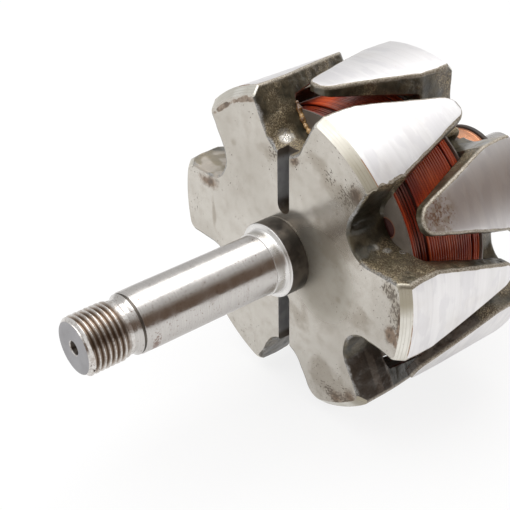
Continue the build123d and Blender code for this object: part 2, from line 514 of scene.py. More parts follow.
half_sector = (
    [("rim", n / 8) for n in range(8)]
    + [("corner", n / 7) for n in range(7)]
    + [("flank", n / 10) for n in range(10)]
    + [("web", n / 8) for n in range(8)]
    + [("valley", n / 14) for n in range(15)]
)
full_sector = [(-1, *stop) for stop in half_sector[:0:-1]] + [(1, *stop) for stop in half_sector[:-1]]
finger_parts = ("rim", "corner", "flank")
first_web = ("web", 0.0)
plate_inner_radius = root_inner_radius - elbow_fillet


def outline_place(part, share, width, cap, corner, spare, inner=plate_inner_radius):
    """Place across and out from a finger's middle line, from the middle of its rim to the valley floor."""
    corner_across = width - corner
    corner_out = math.sqrt((cap - corner) ** 2 - corner_across**2)
    lean = math.atan2(corner_across, corner_out)
    flank_foot = math.sqrt(inner**2 - width**2)
    if part == "rim":
        return cap * math.sin(share * lean), cap * math.cos(share * lean)
    if part == "corner":
        turn = lean + share * (math.pi / 2 - lean)
        return corner_across + corner * math.sin(turn), corner_out + corner * math.cos(turn)
    if part == "flank":
        return width, corner_out + share * (flank_foot - corner_out)
    if part == "web":
        return width, flank_foot + share * (valley_out - flank_foot)
    turn = share * math.pi / 3
    reach = valley_fillet + spare
    return valley_across - reach * math.cos(turn), valley_out - reach * math.sin(turn)


def quarter_round(depth, end, radius):
    """How far a rounding of a radius has drawn in at a depth, before the end it turns into."""
    into = min(max(0.0, depth - (end - radius)), radius)
    return radius - math.sqrt(radius**2 - into**2)


def finger_sizes(depth):
    """Half width, outer and inner radius of a finger at a depth from the pole's face."""
    taper = (depth - plate_thickness) / (finger_length - plate_thickness)
    width = root_half_width + taper * (tip_half_width - root_half_width)
    width -= quarter_round(depth, finger_length, tip_round)
    inner = root_inner_radius + taper * (tip_inner_radius - root_inner_radius)
    into_elbow = max(0.0, elbow_fillet - (depth - plate_thickness))
    inner -= elbow_fillet - math.sqrt(elbow_fillet**2 - into_elbow**2)
    inner += quarter_round(depth, finger_length, tip_under_round)
    return width, pole_radius - quarter_round(depth, finger_length, tip_top_round), inner


def corner_round(finger, side, depth):
    """Radius between a finger's rim and its flank: wide at the face, small along the finger."""
    start = corner_rounds[finger][(side + 1) // 2]
    fade = min(1.0, max(0.0, (depth - 2) / 10))
    return start + fade * (finger_corner - start)


def directions(turn):
    """Out from the shaft axis and round it, at an angle from the top."""
    return Vector((math.sin(turn), 0, math.cos(turn))), Vector((math.cos(turn), 0, -math.sin(turn)))


def claw_shape(station, inward, groove_angle):
    """Pole built outwards from its bore: face, rim, back, and then the fingers."""
    shape = bmesh.new()
    stop_number = shape.verts.layers.int.new("stop")
    underside = shape.verts.layers.int.new("underside")
    stops = [(finger, *stop) for finger in range(finger_count) for stop in full_sector]

    def put(vert, depth, width, cap, inner=plate_inner_radius):
        """Sets a vertex at its stop, at a depth from the face."""
        finger, side, part, share = stops[vert[stop_number]]
        if cap < pole_radius / 2:
            across, out = outline_place(part, share, root_half_width, pole_radius, plain_corner, 0, inner)
            scale = cap / math.hypot(across, out)
            across, out = across * scale, out * scale
        elif vert[underside]:
            order = [p for p in half_sector if p[0] in finger_parts]
            reach = order.index((part, share)) / len(order) if part != "web" else 1.0
            turn = reach * math.asin(width / inner)
            across, out = inner * math.sin(turn), inner * math.cos(turn)
        else:
            share_of_wall = 1.0 if depth <= plate_thickness else 0.45
            corner = min(corner_round(finger, side, depth), 0.6 * width, (cap - inner) * share_of_wall)
            across, out = outline_place(part, share, width, cap, corner, root_half_width - width, inner)
        radial, tangent = directions(groove_angle + sector * (finger + 0.5))
        vert.co = radial * out + tangent * across * side + Vector((0, station + inward * depth, 0))

    def skin(vert, depth, width):
        """Half width with the unevenness of the forging at the vertex."""
        finger, side, part, share = stops[vert[stop_number]]
        waves = noise.noise(vert.co * 0.09)
        coarse = noise.fractal(vert.co * 0.28, 1.0, 2.0, 3)
        fine = noise.noise(vert.co * 1.3)
        uneven = skin_waves * (waves - 0.5) + skin_bumps * (coarse + 0.3 * fine - 0.5)
        if part == "corner" and (finger, side) == burr_side and 1.5 < depth < plate_thickness:
            uneven += burr_size * max(0.0, noise.noise(vert.co * 0.9) + 0.2)
        if part in ("corner", "flank") and (finger, side) == full_side:
            uneven += full_side_gain * (1 - share if part == "flank" else 1)
        in_pocket = part not in ("rim", "corner") and (finger, side) == pocket_side
        if in_pocket and 1.0 < depth < plate_thickness:
            reach = share if part == "valley" else 0.0
            wall = min(1.0, (depth - 1.0) / 0.8)
            uneven -= pocket_depth * wall * min(1.0, max(0.0, (pocket_reach - reach) / pocket_rim))
        return width + uneven

    def ring(verts, depth, width, cap):
        for vert in verts:
            put(vert, depth, width, cap)
            if cap > pole_radius / 2:
                put(vert, depth, skin(vert, depth, width), cap)

    verts = bmesh.ops.create_circle(shape, cap_ends=False, segments=len(stops), radius=press_radius)["verts"]
    for number, vert in enumerate(verts):
        vert[stop_number] = number
    edges = list(shape.edges)
    ring(verts, 0, root_half_width, press_radius)
    wall_height = plate_thickness - pole_chamfer
    wall_depths = [pole_chamfer + wall_height * n / wall_steps for n in range(1, wall_steps + 1)]
    for depth in edge_depths + wall_depths:
        verts, edges = extrude(shape, edges)
        roll = max(0.0, edge_roll - depth)
        inset = edge_roll - math.sqrt(edge_roll**2 - roll**2)
        inset += forging_draft * abs(2 * depth / plate_thickness - 1)
        cap = min(pole_radius, pole_radius - pole_chamfer + depth)
        ring(verts, depth, root_half_width - inset, cap)

    # Underside of each finger's root, level with the back of the plate
    def on_finger(edge):
        parts = [stops[vert[stop_number]][2:] for vert in edge.verts]
        return all(part[0] in finger_parts or part == first_web for part in parts)

    made = bmesh.ops.extrude_edge_only(shape, edges=[e for e in edges if on_finger(e)])["geom"]
    old = {v[stop_number]: v for v in verts}
    merges = {}
    for vert in among(made, "BMVert"):
        vert[underside] = 1
        if stops[vert[stop_number]][2:] == first_web:
            merges[vert] = old[vert[stop_number]]
    patch = among(made, "BMFace")
    bmesh.ops.weld_verts(shape, targetmap=merges)
    width, cap, inner = finger_sizes(plate_thickness)
    for vert in {v for face in patch for v in face.verts if v[underside]}:
        put(vert, plate_thickness, width - forging_draft, cap, inner)

    # Back of the plate and its bore
    edges = [e for e in shape.edges if len(e.link_faces) == 1]
    edges = [e for e in edges if (e.verts[0].co.y - station) * inward > plate_thickness / 2]
    for depth in (plate_thickness, 0):
        verts, edges = extrude(shape, edges)
        for vert in verts:
            vert[underside] = 0
            put(vert, depth, root_half_width, press_radius)
    bmesh.ops.remove_doubles(shape, verts=shape.verts, dist=1e-4)

    # Fingers, drawn out of the roots to their rounded tips
    free_length = finger_length - plate_thickness
    steps = [0.25, 0.6, 1.0, 1.5] + [1.5 + finger_step * n for n in range(1, 30)]
    steps = [s for s in steps if s < free_length - tip_round - 0.2]
    tip_turns = [n * math.pi / 2 / tip_steps for n in range(tip_steps + 1)]
    for step in steps + [free_length - tip_round * math.cos(turn) for turn in tip_turns]:
        depth = plate_thickness + step
        made = bmesh.ops.extrude_face_region(shape, geom=patch)["geom"]
        patch = among(made, "BMFace")
        width, cap, inner = finger_sizes(depth)
        drafted = width - forging_draft * (1 - step / free_length)
        for vert in among(made, "BMVert"):
            put(vert, depth, drafted, cap, inner)
            put(vert, depth, max(0.4, min(skin(vert, depth, drafted), width)), cap, inner)
    bmesh.ops.remove_doubles(shape, verts=shape.verts, dist=1e-4)
    return shape, stop_number, underside


def round_place(place):
    """Place as the way round the shaft axis, at the middle of the pole's face, and out from it."""
    turn = combine("ARCTAN2", coordinate(place, "X"), coordinate(place, "Z"))
    round_way = times(turn, face_middle_radius * mm)
    joined = new_node(place, "CombineXYZ", X=round_way, Y=times(axis_radius(place), mm))
    return joined.outputs["Vector"]


def ground_face_steel(name, stains, rust_spots, rust_bands, speckled):
    """Ground face of a pole: satin grey, with specks, scratches, stains, a little rust at its edges and a
    painted reflection of the collar round the hub.
    """
    material, shader, place = new_finish(name, (0.55, 0.52, 0.47), 0.85, 0.18)
    turned_place = round_place(place)
    mottle = grain(place, 0.3, 5)
    ground = tint(span(grain(place, 0.05, 5), 0.3, 0.7), (0.47, 0.44, 0.39), (0.58, 0.55, 0.50))
    ground = tint(span(mottle, 0.40, 0.72, 0.0, 0.30), ground, (0.36, 0.32, 0.27))
    dirty = gather(place, stains)
    banded = times(gather(turned_place, rust_bands), span(mottle, 0.35, 0.6, 0.35, 1.4))
    rusty = plus(gather(place, rust_spots), span(banded, 0.12, 0.9, 0.0, 0.8))
    near = span(axis_radius(place), 36.0, 44.7, 0.0, 0.05)
    near = plus(near, span(grain(place, 0.09, 3), 0.45, 0.65, 0.0, 0.07))
    for marks, share in ((dirty, 0.04), (gather(place, speckled), 0.2), (rusty, 0.06)):
        near = plus(near, times(marks, share))
    dots = span(plus(near, grain(turned_place, 1.7, 4, (0.7, 1, 1))), 0.70, 0.75)
    dull = span(plus(times(dirty, 0.5), times(mottle, 0.6)), 0.36, 0.74, 0.0, 0.55)
    spread = grain(place, 0.5, 6)
    rust = span(plus(times(rusty, 0.55), times(spread, 0.7)), 0.42, 0.86, 0.0, 0.85)
    rust_tone = tint(span(spread, 0.35, 0.7), (0.27, 0.185, 0.125), (0.13, 0.095, 0.07))
    # Round the hub the face is darkened to olive and roughened: partly an oil stain, partly a painted
    # reflection of the dark collar.
    oil_and_painted_reflection = span(gather(place, hub_oil_and_collar_reflection), 0.0, 0.55)
    tone = tint(dull, ground, (0.29, 0.25, 0.195))
    tone = tint(times(oil_and_painted_reflection, 0.55), tone, (0.22, 0.195, 0.15))
    tone = tint(rust, tone, rust_tone)
    feed(shader, "Base Color", tint(times(dots, 0.6), tone, (0.12, 0.095, 0.075)))
    rough = larger(larger(larger(rust, dots), times(dull, 0.5)), times(oil_and_painted_reflection, 0.65))
    feed(shader, "Roughness", span(rough, 0, 1, 0.18, 0.6))
    emboss(shader, plus(grain(place, 0.5, 2, (0.12, 1, 6)), mottle), 0.007)
    return material


def chamfer_steel(aged):
    """Turned chamfer round the face: cream where it is clean, olive where aged, with the tool's lines."""
    material, shader, place = new_finish("chamfer_steel", (0.72, 0.70, 0.64), 1.0, 0.4)
    clouds = grain(place, 0.12, 4)
    radius = axis_radius(place)
    height = grain(place, 0.02, 1)
    tone = tint(span(clouds, 0.35, 0.65), (0.62, 0.59, 0.52), (0.80, 0.78, 0.72))
    tone = tint(span(gather(place, aged), 0.0, 0.7, 0.0, 0.8), tone, (0.32, 0.28, 0.20))
    for tool_line in (45.25, 45.8, 46.5):
        line = span(off(radius, tool_line), 0.03, 0.14, 0.26, 0.0)
        line = times(line, span(clouds, 0.38, 0.58, 0.25, 1.0))
        tone = tint(line, tone, (0.25, 0.22, 0.17))
        height = minus(height, line)
    outer = times(span(radius, 46.7, 46.95), span(clouds, 0.48, 0.56))
    tone = tint(outer, tone, (0.33, 0.19, 0.11))
    specks = times(span(grain(place, 1.8, 4), 0.68, 0.74), 0.7)
    feed(shader, "Base Color", tint(specks, tone, (0.20, 0.14, 0.09)))
    emboss(shader, height, 0.04)
    return material


def rim_steel():
    """Outside of the fingers, turned after assembly: near white, with faint rings and rust freckles."""
    material, shader, place = new_finish("turned_rim_steel", (0.86, 0.85, 0.84), 1.0, 0.36)
    rings = grain(place, 0.012, 3, (1, 55, 1))
    brushed = grain(place, 0.10, 4, (1, 2.5, 1))
    tip_rust = gather(place, (((40.4, 25.2, 24.0), (9, 9, 9)),))
    tone = tint(span(rings, 0.3, 0.7), (0.78, 0.765, 0.765), (0.845, 0.83, 0.83))
    tone = tint(span(brushed, 0.46, 0.56, 0.0, 0.5), tone, (0.70, 0.685, 0.70))
    tone = tint(span(grain(place, 0.07, 4), 0.50, 0.8, 0.0, 0.35), tone, (0.60, 0.55, 0.49))
    abraded = times(span(tip_rust, 0.1, 0.6, 0.0, 0.7), span(grain(place, 0.6, 4), 0.4, 0.6))
    tone = tint(abraded, tone, (0.50, 0.42, 0.33))
    freckles = span(plus(times(tip_rust, 0.30), grain(place, 1.4, 5)), 0.73, 0.80, 0.0, 0.7)
    feed(shader, "Base Color", tint(freckles, tone, (0.36, 0.20, 0.13)))
    feed(shader, "Roughness", span(rings, 0.3, 0.7, 0.39, 0.34))
    emboss(shader, plus(rings, brushed), 0.004)
    return material


def face_depth(place):
    """How far a place is behind the nearer pole's outer face, in metres."""
    half_way = (rear_face - drive_face) / 2 * mm
    return minus(half_way, off(coordinate(place, "Y"), (drive_face + rear_face) / 2 * mm))


def forged_skin():
    """Forged and varnished skin: olive and brown, satin or grainy, paler at its edges, with painted shade in
    two valley pockets and painted light on the wall of the left notch.
    """
    material, shader, place = new_finish("forged_skin", (0.2, 0.17, 0.12), 0.3, 0.4)
    grains = grain(place, 2.6, 3)
    lumps = grain(place, 0.35, 3)
    patches = grain(place, 0.16, 2)
    depth = face_depth(place)
    # Painted shade: the satin skin turns near black, and loses its grain, in two valley pockets that lie in
    # shadow.
    dark = span(gather(place, painted_shade_pockets), 0.15, 0.5)
    grainy = plus(grain(place, 0.11, 4), times(gather(place, grainy_spots), 0.3))
    granular = span(minus(grainy, times(dark, 0.3)), 0.46, 0.70)
    satin = tint(span(lumps, 0.3, 0.7), (0.036, 0.031, 0.019), (0.105, 0.088, 0.055))
    satin = tint(times(dark, 0.75), satin, (0.022, 0.020, 0.013))
    rough_tone = tint(span(grains, 0.40, 0.68), (0.10, 0.074, 0.040), (0.46, 0.375, 0.235))
    rough_tone = tint(span(grain(place, 0.8, 5), 0.5, 0.62, 0.0, 0.6), rough_tone, (0.10, 0.066, 0.034))
    tone = tint(granular, satin, rough_tone)
    # Painted light: the wall of the left notch is made paler where the lamp falls on it.
    painted_light_tone = tint(span(patches, 0.44, 0.56), (0.40, 0.355, 0.30), (0.22, 0.185, 0.125))
    tone = tint(span(gather(place, painted_light_pockets), 0.1, 0.4), tone, painted_light_tone)

    # Brown walls of the lowest valley, with a worn ridge and a worn back edge
    on_plate = span(depth, 12.0 * mm, 12.8 * mm, 1.0, 0.0)
    brown = plus(times(gather(place, brown_walls), on_plate), gather(place, brown_flanks))
    ridge = larger(
        span(off(depth, 7.7 * mm), 1.0 * mm, 1.6 * mm, 1.0, 0.0),
        span(depth, 11.6 * mm, 11.9 * mm),
    )
    brown_tone = tint(times(ridge, span(lumps, 0.3, 0.5)), (0.060, 0.047, 0.036), (0.135, 0.110, 0.088))
    tone = tint(span(brown, 0.03, 0.10), tone, brown_tone)

    # Ragged paler band beside the ground face, beige edge along the turned rim, and bright worn spots
    at_face = span(plus(depth, times(lumps, 2.6 * mm)), 1.3 * mm, 2.1 * mm, 1.0, 0.0)
    at_face = times(at_face, span(patches, 0.36, 0.52))
    tone = tint(at_face, tone, tint(span(grains, 0.35, 0.6), (0.15, 0.14, 0.125), (0.36, 0.355, 0.345)))
    worn = span(axis_radius(place), 45.9, 46.7, 0.0, 0.9)
    tone = tint(worn, tone, tint(span(grains, 0.35, 0.65), (0.22, 0.18, 0.13), (0.50, 0.45, 0.37)))
    polished = times(gather(place, bright_spots), span(lumps, 0.35, 0.6, 0.5, 1.2))
    polished = span(polished, 0.12, 0.7)
    feed(shader, "Base Color", tint(polished, tone, (0.78, 0.75, 0.69)))
    feed(shader, "Metallic", span(polished, 0, 1, 0.3, 1.0))
    feed(shader, "Roughness", minus(span(granular, 0, 1, 0.35, 0.45), times(polished, 0.2)))
    feed(shader, "Coat Weight", 0.4)
    feed(shader, "Coat Roughness", 0.1)
    emboss(shader, plus(times(grains, span(granular, 0, 1, 0.2, 0.9)), lumps), 0.3)
    feed(shader, "Coat Normal", shader.inputs["Normal"].links[0].from_socket)
    return material


def groove_skin():
    """Walls of the face groove: plain grey from the cutter, with dirt caked in its two ends."""
    material, shader, place = new_finish("groove_steel", (0.5, 0.5, 0.5), 0.4, 0.5)
    radius = axis_radius(place)
    clouds = grain(place, 0.3, 4)
    ends = plus(span(radius, 14.2, 17.0, 1.0, 0.0), span(radius, 27.2, 29.6, 0.0, 0.9))
    crust = times(ends, span(clouds, 0.2, 0.45, 0.6, 1.0))
    pits = span(grain(place, 1.1, 3), 0.70, 0.74)
    wall = tint(span(clouds, 0.35, 0.65), (0.27, 0.27, 0.275), (0.36, 0.36, 0.36))
    feed(shader, "Base Color", tint(larger(crust, pits), wall, (0.085, 0.065, 0.045)))
    emboss(shader, clouds, 0.05)
    return material


def dress_claw(name, shape, layers, station, inward, groove_angle, finishes):
    """Gives the pole its finishes and cuts the two grooves in its face."""
    ground, turned, forged, cut_wall, chamfered = range(len(finishes))
    stop_number, underside = layers
    stops = full_sector * finger_count
    for face in shape.faces:
        middle = face.calc_center_median()
        depth = (middle.y - station) * inward
        parts = {stops[v[stop_number]][1] for v in face.verts}
        hidden = any(v[underside] for v in face.verts) or from_axis(middle) < press_radius + 3
        at_tip = depth > finger_length - tip_top_round
        if depth < 0.01:
            face.material_index = ground
        elif hidden or parts & {"flank", "web", "valley"}:
            face.material_index = forged
        elif depth < pole_chamfer:
            face.material_index = chamfered
        else:
            face.material_index = forged if at_tip or "corner" in parts and "rim" not in parts else turned
    piece = new_piece(name, shape, finishes)
    cutter_shape = bmesh.new()
    groove_length = pole_radius + 2 - groove_inner_radius
    for side in (0, math.pi):
        radial, tangent = directions(groove_angle + side)
        start = radial * (groove_inner_radius + groove_width / 2)
        half = groove_width / 2
        corners = [start + radial * groove_length + tangent * half]
        for n in range(groove_end_steps + 1):
            bend = n * math.pi / groove_end_steps
            corners.append(start + (tangent * math.cos(bend) - radial * math.sin(bend)) * half)
        corners.append(start + radial * groove_length - tangent * half)
        rim = [cutter_shape.verts.new(c + Vector((0, station - inward, 0))) for c in corners]
        floor = cutter_shape.faces.new(rim)
        made = bmesh.ops.extrude_face_region(cutter_shape, geom=[floor], use_keep_orig=True)["geom"]
        for vert in among(made, "BMVert"):
            vert.co.y = station + inward * groove_depth
    for face in cutter_shape.faces:
        face.material_index = cut_wall
    cutter = new_piece(name + "_groove", cutter_shape, finishes)
    cut = piece.modifiers.new("grooves", "BOOLEAN")
    cut.operation = "DIFFERENCE"
    cut.solver = "EXACT"
    cut.object = cutter
    grooved = bmesh.new()
    grooved.from_object(piece, bpy.context.evaluated_depsgraph_get())
    piece.modifiers.clear()
    bpy.data.objects.remove(cutter)
    mark_sharp(grooved, 32)
    grooved.to_mesh(piece.data)
    grooved.free()
    even = piece.modifiers.new("even_shading", "WEIGHTED_NORMAL")
    even.keep_sharp = True
    even.weight = 80
    return piece


def face_marks(*spots):
    """Stains on the drive pole's face, from their places across and up it and their reach."""
    return [((x, drive_face, z), (reach, 3, reach * tall)) for x, z, reach, tall in spots]


drive_stains = face_marks(
    (-21.4, 25.9, 2.2, 1.0), (-31.7, -1.2, 1.4, 6.0), (-6.2, 28.7, 5.0, 0.8), (3.5, 29.6, 4.0, 1.0),
    (10.9, 34.4, 3.5, 1.0), (14.7, 32.3, 4.6, 1.0), (18.9, 28.6, 5.0, 1.0), (24.0, 26.9, 4.6, 1.0),
    (27.9, 29.6, 4.6, 1.0), (25.8, 20.6, 3.2, 1.0), (5.7, -17.7, 7.0, 0.9), (22.2, -4.0, 1.5, 1.0),
    (29.9, -5.6, 8.0, 0.8), (40.0, 8.4, 4.0, 1.0), (43.2, 4.0, 4.0, 2.0), (15.7, -32.0, 6.0, 1.0),
    (20.0, -35.0, 13.0, 0.9), (26.1, -34.8, 6.0, 1.0), (34.9, -29.2, 4.0, 1.0), (20.0, 12.0, 13.0, 1.0),
)
drive_rust = face_marks(
    (-36.0, 8.4, 4.4, 0.6), (-31.6, 8.8, 4.2, 0.8), (27.9, 29.8, 3.6, 1.0), (42.0, -4.0, 3.0, 1.2),
    (41.6, -5.0, 2.6, 1.4), (22.5, -37.0, 5.0, 0.8), (28.0, -33.5, 5.0, 0.7), (4.5, 30.5, 3.0, 1.2),
)
drive_specks = face_marks(
    (24.0, 27.5, 5.0, 1.2), (28.0, 28.5, 3.5, 1.0), (18.0, 31.0, 4.0, 1.0), (5.0, 30.0, 3.0, 1.2),
    (-4.0, 30.0, 3.5, 1.0), (43.0, 3.5, 3.5, 2.2), (40.5, 8.0, 3.5, 1.0), (31.0, 11.5, 3.0, 1.6),
    (19.0, -36.0, 4.5, 0.8),
)


def band_marks(*bands):
    """Rust along the rim of the face, from its middle angle, radius, half length round and half width."""
    round_way = math.radians(1) * face_middle_radius
    return [((turn * round_way, radius, 0), (length, width, 1)) for turn, radius, length, width in bands]


drive_rust_bands = band_marks(
    (-29.0, 43.5, 9.5, 1.0), (-18.0, 43.9, 4.5, 1.8), (-37.0, 43.3, 4.0, 1.1),
    (90.0, 44.4, 6.0, 0.9), (96.5, 43.9, 3.0, 1.1),
)
rear_rust_bands = band_marks(
    (22.0, 43.8, 7.0, 1.1), (118.0, 43.9, 5.0, 0.9), (-62.0, 43.6, 8.0, 1.0), (178.0, 43.9, 4.0, 1.3)
)
rear_spots = ((22, 27, 8), (-30, 18, 6), (-12, -34, 7), (34, -20, 6), (14, 38, 4), (-38, -8, 5), (5, -24, 5))
rear_stains = [((x, rear_face, z), (reach, 3, reach)) for x, z, reach in rear_spots]
# Oil round each hub; on the drive face its darkening is also a painted reflection of the collar.
hub_oil_and_collar_reflection = (((15.0, drive_face, 0.0), (17, 4, 19)), ((0.0, rear_face, 0.0), (30, 4, 30)))
aged_chamfer = (
    ((31.0, drive_face + 1, 33.5), (13, 6, 13)),
    ((44.6, drive_face + 1, 8.4), (7, 7, 7)),
    ((32.0, drive_face + 1, -33.0), (8, 8, 8)),
)
# Painted shade in two valley pockets that lie in shadow.
painted_shade_pockets = (
    ((27.0, drive_face + 5.5, 23.0), (11, 9, 10)),
    ((29.0, drive_face + 19.0, -33.0), (13, 12, 12)),
)
# Painted light on the wall of the left notch.
painted_light_pockets = (((-34.0, drive_face + 5, 12.5), (13, 13, 9)),)
brown_walls = (((31.0, drive_face + 7, -29.5), (12, 30, 9.9)),)
brown_flanks = (((39.0, drive_face + 24, -20.0), (9, 22, 9)),)
bright_spots = (
    ((-4.2, drive_face + 5, 32.6), (3.4, 3.4, 3.0)),
    ((28.2, drive_face + 6, 12.3), (2.4, 2.2, 1.6)),
    ((30.6, drive_face + 8.2, 11.4), (1.8, 2.6, 1.4)),
    ((33.5, drive_face + 11.6, 11.6), (1.5, 1.2, 1.4)),
)
grainy_spots = (
    ((38.0, drive_face + 6, 12.0), (11, 9, 6)),
    ((0.0, drive_face + 6, 31.5), (9, 9, 9)),
)
forging = forged_skin()
turned_rim = rim_steel()
chamfer = chamfer_steel(aged_chamfer)
groove_steel = groove_skin()
for node, station, inward, groove_angle, marks in (
    ("drive_claw_pole", drive_face, 1, 0.0, (drive_stains, drive_rust, drive_rust_bands, drive_specks)),
    ("rear_claw_pole", rear_face, -1, sector / 2, (rear_stains, (), rear_rust_bands, rear_stains)),
):
    face_finish = ground_face_steel(node.replace("claw_pole", "face_steel"), *marks)
    finishes = [face_finish, turned_rim, forging, groove_steel, chamfer]
    shape, *layers = claw_shape(station, inward, groove_angle)
    claw = dress_claw(node.replace("claw", "forged"), shape, layers, station, inward, groove_angle, finishes)
    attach(claw, "root")
    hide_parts(node)

# Varnish run. Baking varnish from the coil that ran down to the plate's back edge in the top valley
# and set there as a row of amber drops.
run_finger = 5
run_stops = [("web", n / 10) for n in range(10)] + [("valley", n / 14) for n in range(13)]
run_drop_radius = 0.62
run_unevenness = 0.45


def mottled(name, metallic, roughness, clouds, dark, pale, relief, coat=0.0, stains=()):
    """Finish clouded from a dark tone to a pale one, over a fine relief, red-brown round the marks it is
    given.
    """
    material, shader, place = new_finish(name, pale, metallic, roughness)
    cells, detail, low, high = clouds
    tone = tint(span(grain(place, cells, detail), low, high), dark, pale)
    # Red-brown round the given marks; on the bobbin board these are the lead holes' rims, partly a painted
    # highlight.
    if stains:
        tone = tint(span(gather(place, stains), 0.22, 0.33, 0.0, 0.7), tone, (0.36, 0.11, 0.04))
    feed(shader, "Base Color", tone)
    feed(shader, "Coat Weight", coat)
    cells, detail, depth = relief
    emboss(shader, grain(place, cells, detail), depth)
    return material


varnish_clouds = (0.6, 3, 0.4, 0.6)
set_varnish = mottled(
    "set_varnish", 0.0, 0.12, varnish_clouds, (0.16, 0.07, 0.02), (0.62, 0.38, 0.16), (1.2, 2, 0.1), 1.0
)
run_shape = bmesh.new()
run_radial, run_tangent = directions(sector * (run_finger + 0.5))
for part, share in run_stops:
    across, out = outline_place(part, share, root_half_width, pole_radius, plain_corner, 0)
    size = run_drop_radius + run_unevenness * noise.noise(Vector((across, out, 0.5)))
    spot = run_radial * out + run_tangent * (across + 0.1)
    drop = bmesh.ops.create_icosphere(run_shape, subdivisions=2, radius=size)["verts"]
    bmesh.ops.translate(run_shape, verts=drop, vec=spot + Vector((0, drive_face + plate_thickness - 0.3, 0)))
varnish_run = new_piece("varnish_run", run_shape, [set_varnish], sharp_angle=80)
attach(varnish_run, "root")

# Core and bobbin tube. A soft iron ring, with a tube of insulating board round it; the winding and
# the flanges hide both.
lead_hole_pitch_radius = 30.8
lead_hole_turn = sector
core_iron = turned_steel("core_iron", (0.35, 0.33, 0.31), 0.4, 0.02, 0.2)
board_clouds = (0.12, 5, 0.35, 0.65)
board_tones = (0.14, 0.115, 0.095), (0.25, 0.215, 0.18)
# Orange rings round the lead holes: the varnished cut edge, together with a painted highlight of the rim.
lead_hole_rims = []
for side in (1, -1):
    middle = directions(lead_hole_turn)[0] * lead_hole_pitch_radius * side
    lead_hole_rims.append(((middle.x, drive_face + plate_thickness, middle.z), (4.2, 4.2, 4.2)))
bobbin_board = mottled(
    "bobbin_board", 0.0, 0.5, board_clouds, *board_tones, (0.9, 4, 0.04), coat=0.4, stains=lead_hole_rims
)


def refinish(node, finish):
    """Gives a node of the frame that keeps its shape a finish of its own."""
    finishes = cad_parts[node].data.materials
    finishes.clear()
    finishes.append(finish)


refinish("pole_core", core_iron)
for node in ("bobbin_tube", "drive_bobbin_flange", "rear_bobbin_flange"):
    refinish(node, bobbin_board)

# Field winding. Round enamelled copper wire, wound in layers between the flanges and set with
# varnish. The two outer layers are drawn turn by turn, over a drum for the layers below.
winding_low, winding_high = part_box("field_winding")
winding_radius = winding_high.x / mm
winding_start = winding_low.y / mm
winding_length = (winding_high.y - winding_low.y) / mm
wire_radius = 0.42
wire_pitch = 0.875
wire_sides = 7
wire_steps = 90
wire_clearance = 0.12
wire_wander = 0.1
layer_step = 0.76
loose_turns = (0.45, 1.35, 2.5, 3.4, 4.5, 5.4)
sunk_start = 1.9
sunk_depth = 0.5
dense_start = 6.3
end_group = 3


def enamel():
    """Red enamel on copper wire: orange on the crests, with painted shade between the turns."""
    material, shader, place = new_finish("wire_enamel", (0.5, 0.08, 0.03), 0.0, 0.3)
    strands = span(grain(place, 0.02, 2, (1, 60, 1)), 0.35, 0.65)
    # Painted shade: below the crests the wire goes near black, where the turns shade one another and the
    # layer beneath.
    crest = span(axis_radius(place), winding_radius - 1.0, winding_radius - 0.25)
    warm = tint(strands, (0.48, 0.065, 0.022), (0.72, 0.15, 0.05))
    warm = tint(span(grain(place, 0.08, 4), 0.42, 0.68), warm, (0.30, 0.032, 0.018))
    feed(shader, "Base Color", tint(crest, (0.07, 0.008, 0.005), warm))
    feed(shader, "Coat Weight", 0.5)
    feed(shader, "Coat Roughness", 0.2)
    feed(shader, "Coat Tint", (1.0, 0.72, 0.55, 1))
    return material


def wound_layer(shape, centre_radius, places):
    """Turns of round wire about the shaft axis, at places along it."""
    section = bmesh.ops.create_circle(shape, cap_ends=False, segments=wire_sides, radius=wire_radius)["verts"]
    bmesh.ops.rotate(shape, verts=section, cent=(0, 0, 0), matrix=Matrix.Rotation(math.pi / 2, 3, "Y"))
    bmesh.ops.translate(shape, verts=section, vec=(0, places[0], centre_radius))
    edges = list({e for v in section for e in v.link_edges})
    before = set(shape.faces)
    spin(shape, section + edges, wire_steps, use_merge=True)
    first_turn = [f for f in shape.faces if f not in before]
    for place in places[1:]:
        copy = bmesh.ops.duplicate(shape, geom=first_turn)["geom"]
        verts = among(copy, "BMVert")
        bmesh.ops.translate(shape, verts=verts, vec=(0, place - places[0], 0))


coil_shape = bmesh.new()
last_place = winding_length - wire_radius - 0.05
dense_end = last_place - end_group * wire_pitch - 0.55
dense_turns = int((dense_end - dense_start) / wire_pitch) + 1
outer_places = [winding_start + place for place in loose_turns]
outer_places += [winding_start + dense_end - n * wire_pitch for n in range(dense_turns)]
outer_places += [winding_start + last_place - n * wire_pitch for n in range(end_group)]
under_turns = int((winding_length - 2 * wire_radius) / wire_pitch)
under_places = [winding_start + 1.5 * wire_radius + n * wire_pitch for n in range(under_turns)]
outer_layer_radius = winding_radius - wire_radius - wire_clearance
wound_layer(coil_shape, outer_layer_radius, outer_places)
wound_layer(coil_shape, outer_layer_radius - layer_step, under_places)
for vert in coil_shape.verts:
    along = vert.co.y
    around = Vector((vert.co.x * 0.06, round(along / wire_pitch) * 3.7, vert.co.z * 0.06))
    out = from_axis(vert.co)
    sunk = sunk_start < along - winding_start < dense_start - wire_radius
    dip = min(wire_wander, wire_wander * noise.noise(around) - (sunk_depth if sunk else 0.0))
    vert.co.x *= (out + dip) / out
    vert.co.z *= (out + dip) / out
    vert.co.y += 0.09 * noise.noise(around + Vector((9, 0, 4)))
    vert.co.y = min(max(vert.co.y, winding_start + 0.01), winding_start + winding_length - 0.01)
coil = new_piece("coil_wire", coil_shape, [enamel()], sharp_angle=80)
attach(coil, "root")
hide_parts("field_winding")

